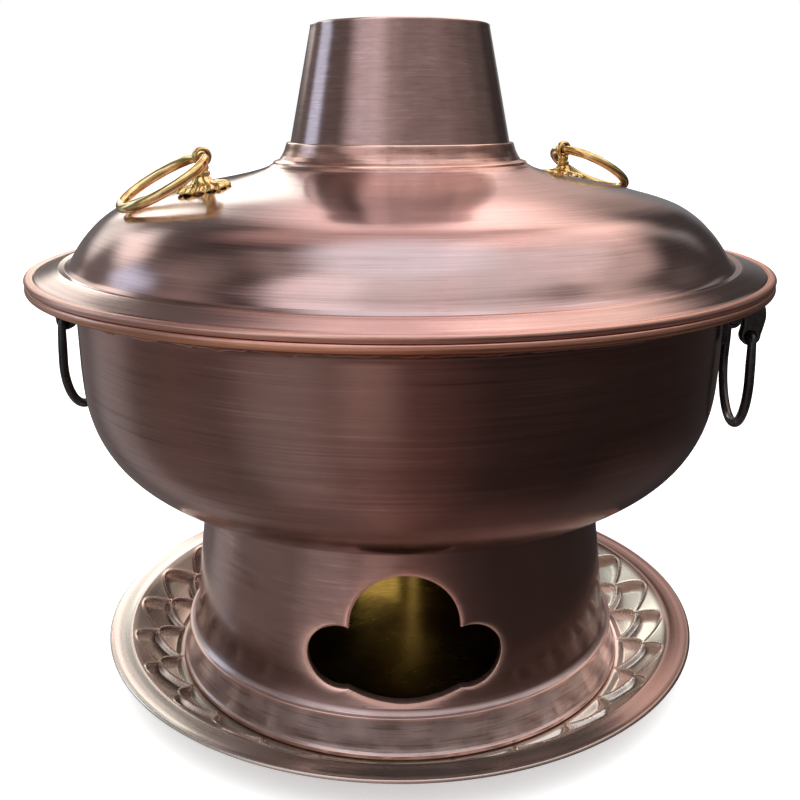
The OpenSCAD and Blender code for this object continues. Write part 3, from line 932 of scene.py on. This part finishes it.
def eye_post(name, side):
    shank = lathe_z(name + "_stem", dense(rounded([(0.01, 228.6), (1.9, 228.6, 0.3), (1.95, 240.5), (2.2, 241.2), (3.1, 241.5, 0.5), (3.1, 243.0, 0.6),
                    (2.2, 243.4, 0.4), (2.75, 244.4, 1.0), (2.5, 245.6, 0.8), (1.5, 246.3), (0.01, 246.4)]), 0.4), [M_BRASS], 40)
    # eye: oval-section loop standing on the stem, its hole along local Y
    verts, faces = [], []
    NU, NV = 64, 20
    for i in range(NU):
        a = TAU * i / NU
        swell = 1.0 + 0.10 * math.cos(a)
        for j in range(NV):
            b = TAU * j / NV
            rad = 3.25 + 0.88 * math.cos(b)
            if math.cos(b) > 0:
                rad = 3.25 + 0.88 * math.cos(b) * swell
            verts.append((rad * math.sin(a), 1.85 * math.sin(b) * (0.92 + 0.08 * math.cos(a)), EYE_Z + rad * math.cos(a)))
    for i in range(NU):
        for j in range(NV):
            faces.append((i * NV + j, ((i + 1) % NU) * NV + j, ((i + 1) % NU) * NV + (j + 1) % NV, i * NV + (j + 1) % NV))
    eye = make(name + "_eye", verts, faces, [M_BRASS])
    ob = join(name, [shank, eye])
    place(ob, knob_frame(side))
    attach(ob, "lid")
    return ob


def lid_ring(name, side):
    R, w = 20.0, 2.1
    pts = [(R + R * math.cos(TAU * i / 180), R * math.sin(TAU * i / 180), 0) for i in range(180)]
    seam = lambda t: 1.0 - 0.012 * math.sin(TAU * t * 9) ** 2
    ob = tube(name, pts, w, [M_BRASS], 28, closed=True, shape=seam)
    tilt = Matrix.Translation((0, 0, EYE_Z * MM)) @ Matrix.Rotation(math.radians(29.5), 4, "Y")
    place(ob, knob_frame(side) @ tilt)
    return ob


for side, word in ((-1, "left"), (1, "right")):
    ob = rosette("rosette_" + word, side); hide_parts("lid_rosette_" + word)
    ob = eye_post("eye_post_" + word, side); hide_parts("lid_eye_post_" + word)
    ob = lid_ring("brass_ring_" + word, side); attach(ob, "ring_" + word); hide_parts("lid_ring_" + word)

# ------------------------------------------------------------------ black side handles
PIV_R, PIV_Z, BAIL = 161.8, 170.0, math.radians(-5.9)


def bail_frame(side):
    return Matrix.Rotation(BAIL + (math.pi if side < 0 else 0), 4, "Z")


def bail(name, side):
    """Round-wire loop: ends turned in through the lugs, straight legs, round bottom."""
    def half(m):
        pts = [(0, m * 13.9, 0), (0, m * 17.0, 0), (0, m * 20.2, 0)]
        cx, rr = 20.9, 3.1
        for i in range(1, 11):
            a = math.radians(90 - i * 8.5)
            pts.append((0, m * (cx + rr * math.cos(a)), -rr + rr * math.sin(a)))
        for i in range(1, 12):
            t = i / 12
            pts.append((0, m * (24.02 + (26.0 - 24.02) * (t ** 0.8)), -3.0 - 17.5 * t))
        return pts
    left = half(-1)
    low = [(0, 26.0 * math.sin(math.radians(a)), -20.5 - 26.0 * math.cos(math.radians(a))) for a in range(-90, 91, 4)]
    right = list(reversed(half(1)))
    pts = left + low + right
    thick = lambda t: 1.0 + 0.11 * step(min(t, 1 - t), 0.13, 0.2) + 0.03 * math.exp(-((t - 0.5) / 0.12) ** 2)
    ob = tube(name, pts, 1.99, [M_IRON], 22, shape=thick, up=(1, 0, 0))
    place(ob, bail_frame(side) @ Matrix.Translation((PIV_R * MM, 0, PIV_Z * MM)))
    return ob


def plate_from_outline(name, pts, hole, half, bevel, seg=40):
    """Flat lug cut from an outline in (x, z), with a round hole, thick along y, edges rounded."""
    cu = bpy.data.curves.new(name, "CURVE")
    cu.dimensions = "2D"
    cu.fill_mode = "BOTH"
    sp = cu.splines.new("POLY")
    sp.points.add(len(pts) - 1)
    for i, (x, z) in enumerate(pts):
        sp.points[i].co = (x * MM, z * MM, 0, 1)
    sp.use_cyclic_u = True
    hx, hz, hr = hole
    sp = cu.splines.new("POLY")
    sp.points.add(seg - 1)
    for i in range(seg):
        a = TAU * i / seg
        sp.points[i].co = ((hx + hr * math.cos(a)) * MM, (hz + hr * math.sin(a)) * MM, 0, 1)
    sp.use_cyclic_u = True
    cu.extrude = (half - bevel) * MM
    cu.bevel_depth = bevel * MM
    cu.bevel_resolution = 3
    cu.offset = -bevel * MM
    ob = bpy.data.objects.new(name, cu)
    bpy.context.scene.collection.objects.link(ob)
    dg = bpy.context.evaluated_depsgraph_get()
    me = bpy.data.meshes.new_from_object(ob.evaluated_get(dg), depsgraph=dg)
    bpy.data.objects.remove(ob)
    bpy.data.curves.remove(cu)
    me.transform(Matrix.Rotation(math.radians(90), 4, "X"))
    out = bpy.data.objects.new(name, me)
    bpy.context.scene.collection.objects.link(out)
    me.materials.clear()
    me.materials.append(M_IRON)
    me.polygons.foreach_set("use_smooth", [True] * len(me.polygons))
    return out


def bracket(name, side):
    # back plate on the bowl wall, rounded edges
    verts, faces = [], []
    NU, NV = 60, 26
    half_u, z0, z1, t = 22.6, 165.8, 186.2, 2.7

    def lift(x):   # rounds the plate off over its last 1.2 mm
        k = min(1.0, max(0.0, x / 1.3))
        return math.sqrt(max(0.0, 1 - (1 - k) ** 2))
    for i in range(NU + 1):
        u = -half_u + 2 * half_u * i / NU
        for j in range(NV + 1):
            z = z0 + (z1 - z0) * j / NV
            e = lift(min(half_u - abs(u), z - z0, z1 - z))
            r = 150.05 + t * e + 0.10 * noise.noise(Vector((u * 0.25, z * 0.25, side)))* e
            a = u / 151.0
            verts.append((r * math.cos(a), r * math.sin(a), z))
    front = len(verts)
    for i in range(NU + 1):
        u = -half_u + 2 * half_u * i / NU
        for j in range(NV + 1):
            z = z0 + (z1 - z0) * j / NV
            a = u / 151.0
            verts.append((150.02 * math.cos(a), 150.02 * math.sin(a), z))
    for i in range(NU):
        for j in range(NV):
            b = i * (NV + 1) + j
            faces.append((b, b + NV + 1, b + NV + 2, b + 1))
            c = front + b
            faces.append((c, c + 1, c + NV + 2, c + NV + 1))
    plate = make(name + "_plate", verts, faces, [M_IRON])
    ring = catmull([(151.0, 186.2), (156, 187.0), (160.5, 187.0), (164.6, 186.0), (167.2, 183.2), (167.9, 178.8), (167.3, 174.6), (166.4, 170.8)], 4)
    low = [(PIV_R + 4.55 * math.cos(math.radians(a)), PIV_Z + 4.55 * math.sin(math.radians(a))) for a in range(6, -187, -8)]
    back = catmull([(157.5, 171.6), (158.0, 175.0), (157.6, 178.2), (155.4, 180.3), (151.0, 181.2)], 4)
    outline = ring + low + back
    lugs = []
    for u in (-18, 18):
        lug = plate_from_outline(name + "_lug", outline, (PIV_R, PIV_Z, 2.06), 2.98, 1.1)
        place(lug, Matrix.Translation((0, u * MM, 0)))
        lugs.append(lug)
    ob = join(name, [plate] + lugs)
    place(ob, bail_frame(side))
    return ob


for side, word in ((-1, "left"), (1, "right")):
    ob = bail("bail_wire_" + word, side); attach(ob, "bail_" + word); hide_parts("side_bail_" + word)
    ob = bracket("bracket_" + word, side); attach(ob, "pot"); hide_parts("side_bracket_" + word)

# rivets: domed heads outside, flat heads inside
obs = []
for side in (-1, 1):
    for u in (-8, 8):
        head = lathe_z("rivet", dense(rounded([(0.01, 146.5), (2.6, 146.5, 0.5), (3.35, 147.4, 0.5), (3.3, 148.1, 0.3), (1.75, 148.3), (1.75, 152.1), (3.9, 152.6, 0.2), (3.9, 153.3, 0.6),
                              (3.2, 154.4, 0.9), (1.7, 155.1, 0.9), (0.01, 155.2)]), 0.5), [M_IRON], 40)
        place(head, bail_frame(side) @ Matrix.Translation((0, u * MM, 176 * MM)) @ Matrix.Rotation(math.radians(90), 4, "Y"))
        obs.append(head)
rivets = join("rivet_heads", obs)
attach(rivets, "pot"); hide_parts("bracket_rivets")


# ------------------------------------------------------------------ carried-over nodes get their finish
def finish_node(node, mat):
    for o in bpy.data.objects:
        if o.type == "MESH" and (o.name == node or o.get("of_node") == node or o.name.split(".")[0] == node):
            if o.data.materials:
                for i in range(len(o.data.materials)):
                    o.data.materials[i] = mat
            else:
                o.data.materials.append(mat)


finish_node("charcoal_grate", M_GRATE)
finish_node("grate_ring", M_INNER)
finish_node("lid_nuts", M_BRASS)

# ------------------------------------------------------------------ floor
verts, faces = [], []
R_, n_ = 6.0, 96
me = bpy.data.meshes.new("studio_floor")
ring = [(R_ * math.cos(TAU * i / n_), R_ * math.sin(TAU * i / n_), 0.0) for i in range(n_)]
me.from_pydata(ring, [], [tuple(range(n_))])
floor = bpy.data.objects.new("studio_floor", me)
bpy.context.scene.collection.objects.link(floor)
m, N = material("pale_floor")
tc = N.new("ShaderNodeTexCoord")
g = N.noise3(tc.outputs["Object"], 3.0, 2.0, 0.5)
surface(N, Base_Color=N.mix(g, rgb(.93, .93, .93), rgb(.95, .95, .95)), Roughness=0.9, Specular_IOR_Level=0.1, Emission_Color=rgb(1, 1, 1), Emission_Strength=0.40)
me.materials.append(m)
floor.visible_glossy = False

# ------------------------------------------------------------------ studio light
world = bpy.data.worlds.new("studio")
bpy.context.scene.world = world
world.use_nodes = True
N = Nodes(world.node_tree)
tc = N.new("ShaderNodeTexCoord")
dx, dy, dz = N.xyz(tc.outputs["Generated"])
el = N.math("MULTIPLY", N.math("ARCSINE", dz), 180 / math.pi)
az = N.math("MULTIPLY", N.math("ARCTAN2", dx, N.math("MULTIPLY", dy, -1.0)), 180 / math.pi)   # 0 in front, + to the right


def window(az0, half, el0, el1, soft_a, soft_e):
    """Soft-edged panel of light: azimuth, half width, lowest and highest elevation, and edge softness, in degrees."""
    d = N.math("ABSOLUTE", N.math("WRAP", N.math("SUBTRACT", az, az0), 180.0, -180.0))
    f = N.ramp(d, half + soft_a, half - soft_a, 0.0, 1.0) if half < 180 else None
    b = N.ramp(el, el0 - soft_e, el0 + soft_e, 0.0, 1.0)
    f = b if f is None else N.math("MULTIPLY", f, b)
    if el1 < 90:
        f = N.math("MULTIPLY", f, N.ramp(el, el1 + soft_e, el1 - soft_e, 0.0, 1.0))
    return f


room = N.mix(N.ramp(el, -20, 20), rgb(.045, .038, .037), rgb(.060, .054, .053))
panels = [
    # az0, half, el0, el1, soft_a, soft_e, power, tint
    (-84, 80, -90, 42, 14, 10, .125, (1.00, 0.92, 0.91)),    # left side of the room
    (-4, 22, -90, 4, 18, 14, .14, (1.00, 0.58, 0.54)),       # warm table edge, in front
    (-40, 14, -56, 6, 10, 10, .20, (1.00, 0.94, 0.97)),      # window light low down, front left
    (-82, 16, -58, -14, 12, 10, .06, (1.00, 0.90, 0.88)),    # low wall, left
    (-117, 12, -62, 2, 8, 8, .23, (0.98, 1.10, 1.16)),       # window light low down, left
    (0, 180, -90, -54, 1, 12, .09, (1.00, 0.74, 0.72)),      # under the pot
    (112, 26, -56, -30, 14, 10, .07, (1.00, 0.86, 0.83)),    # low down, right
    (-10, 9, -18, -8, 5, 3, .38, (1.00, 0.90, 0.88)),        # bright spot on the table
    (30, 44, 2, 44, 26, 8, .33, (1.00, 0.87, 0.87)),         # front of the room
    (-40, 20, 4, 44, 12, 10, .74, (1.00, 1.00, 1.10)),       # tall window, front left
    (-14, 12, 8, 36, 16, 8, .24, (1.00, 0.96, 0.98)),        # its soft edge
    (-107, 10, 2, 29, 4, 5, 1.02, (0.82, 1.12, 1.50)),       # narrow window, left
    (98, 22, 3, 24, 12, 6, .13, (1.00, 0.92, 0.86)),         # room, right
    (0, 180, 71, 90, 1, 6, 1.26, (1.00, 1.08, 1.22)),        # broad panel overhead
    (31, 91, 47, 71, 9, 6, 1.02, (1.07, 1.04, 1.08)),        # its near part
    (-42, 22, 49, 68, 8, 6, .42, (1.00, 1.08, 1.20)),        # brightest part
    (-90, 22, 58, 70, 10, 6, .35, (1.02, 0.94, 0.93)),       # ceiling, left
    (-95, 14, 34, 54, 8, 6, .20, (1.02, 0.92, 0.90)),        # a dim stretch of wall under it
    (98, 22, 31, 49, 8, 5, .72, (1.06, 0.97, 0.93)),        # ceiling, right
    (135, 14, 36, 74, 8, 7, 1.00, (1.10, 0.93, 0.88)),        # ceiling, back right
    (180, 44, 48, 72, 12, 7, .66, (1.16, 0.84, 0.80)),       # ceiling, behind
    (-164, 11, 10, 23, 5, 3, 2.30, (1.00, 1.03, 0.95)),      # bright wall, back left
    (-130, 11, 23, 34, 5, 4, 1.45, (1.00, 1.06, 1.02)),       # second window, back left
    (-143, 7, 10, 24, 4, 4, 0.95, (1.00, 1.04, 0.98)),       # its lower pane
    (157, 16, 29, 46, 8, 6, 1.15, (1.16, 0.92, 0.82)),       # warm wall, back right
    (171, 9, 9, 28, 7, 5, .58, (1.16, 0.84, 0.74)),          # its lower part
    (180, 14, 26, 48, 8, 7, 1.45, (1.18, 0.90, 0.88)),       # wall behind
    (163, 8, -6, 9, 6, 5, .16, (1.00, 1.10, 1.14)),          # low strip, back right
    (140, 3, 16, 30, 3, 6, .30, (1.00, 1.05, 1.05)),         # thin strip, right
]
col = room
for p in panels:
    f = window(*p[:6])
    n = N.new("ShaderNodeMix", data_type="RGBA", blend_type="ADD")
    N.put(n.inputs["Factor"], f)
    N.put(n.inputs["A"], col)
    N.put(n.inputs["B"], rgb(*(t * p[6] for t in p[7])))
    col = n.outputs["Result"]
lp = N.new("ShaderNodeLightPath")
seen = N.mix(lp.outputs["Is Diffuse Ray"], col, rgb(1.0, 1.0, 1.0))
seen = N.mix(lp.outputs["Is Camera Ray"], seen, rgb(1, 1, 1))
bg = N.new("ShaderNodeBackground")
N.put(bg.inputs["Color"], seen)
bg.inputs["Strength"].default_value = 1.0
out = N.new("ShaderNodeOutputWorld")
N.t.links.new(bg.outputs[0], out.inputs[0])


def area(name, loc, aim, size, watts, glossy=False, colour=(1, 1, 1)):
    l = bpy.data.lights.new(name, "AREA")
    l.shape = "RECTANGLE"
    l.size, l.size_y = size
    l.energy = watts
    l.color = colour
    o = bpy.data.objects.new(name, l)
    bpy.context.scene.collection.objects.link(o)
    o.location = loc
    o.rotation_euler = (Vector(aim) - Vector(loc)).to_track_quat("-Z", "Y").to_euler()
    o.visible_glossy = glossy
    o.visible_camera = False
    return o


area("overhead", (0, -0.2, 2.4), (0, 0, 0), (3.6, 3.6), 46)
area("ash_glow_left", (-0.014, 0.089, 0.024), (-0.010, 0.03, 0.0), (0.026, 0.012), 0.0011, glossy=True, colour=(1.0, 0.86, 0.42))
area("ash_glow_middle", (0.008, 0.089, 0.040), (0.004, 0.02, 0.0), (0.004, 0.055), 0.0004, glossy=True, colour=(1.0, 0.84, 0.45))
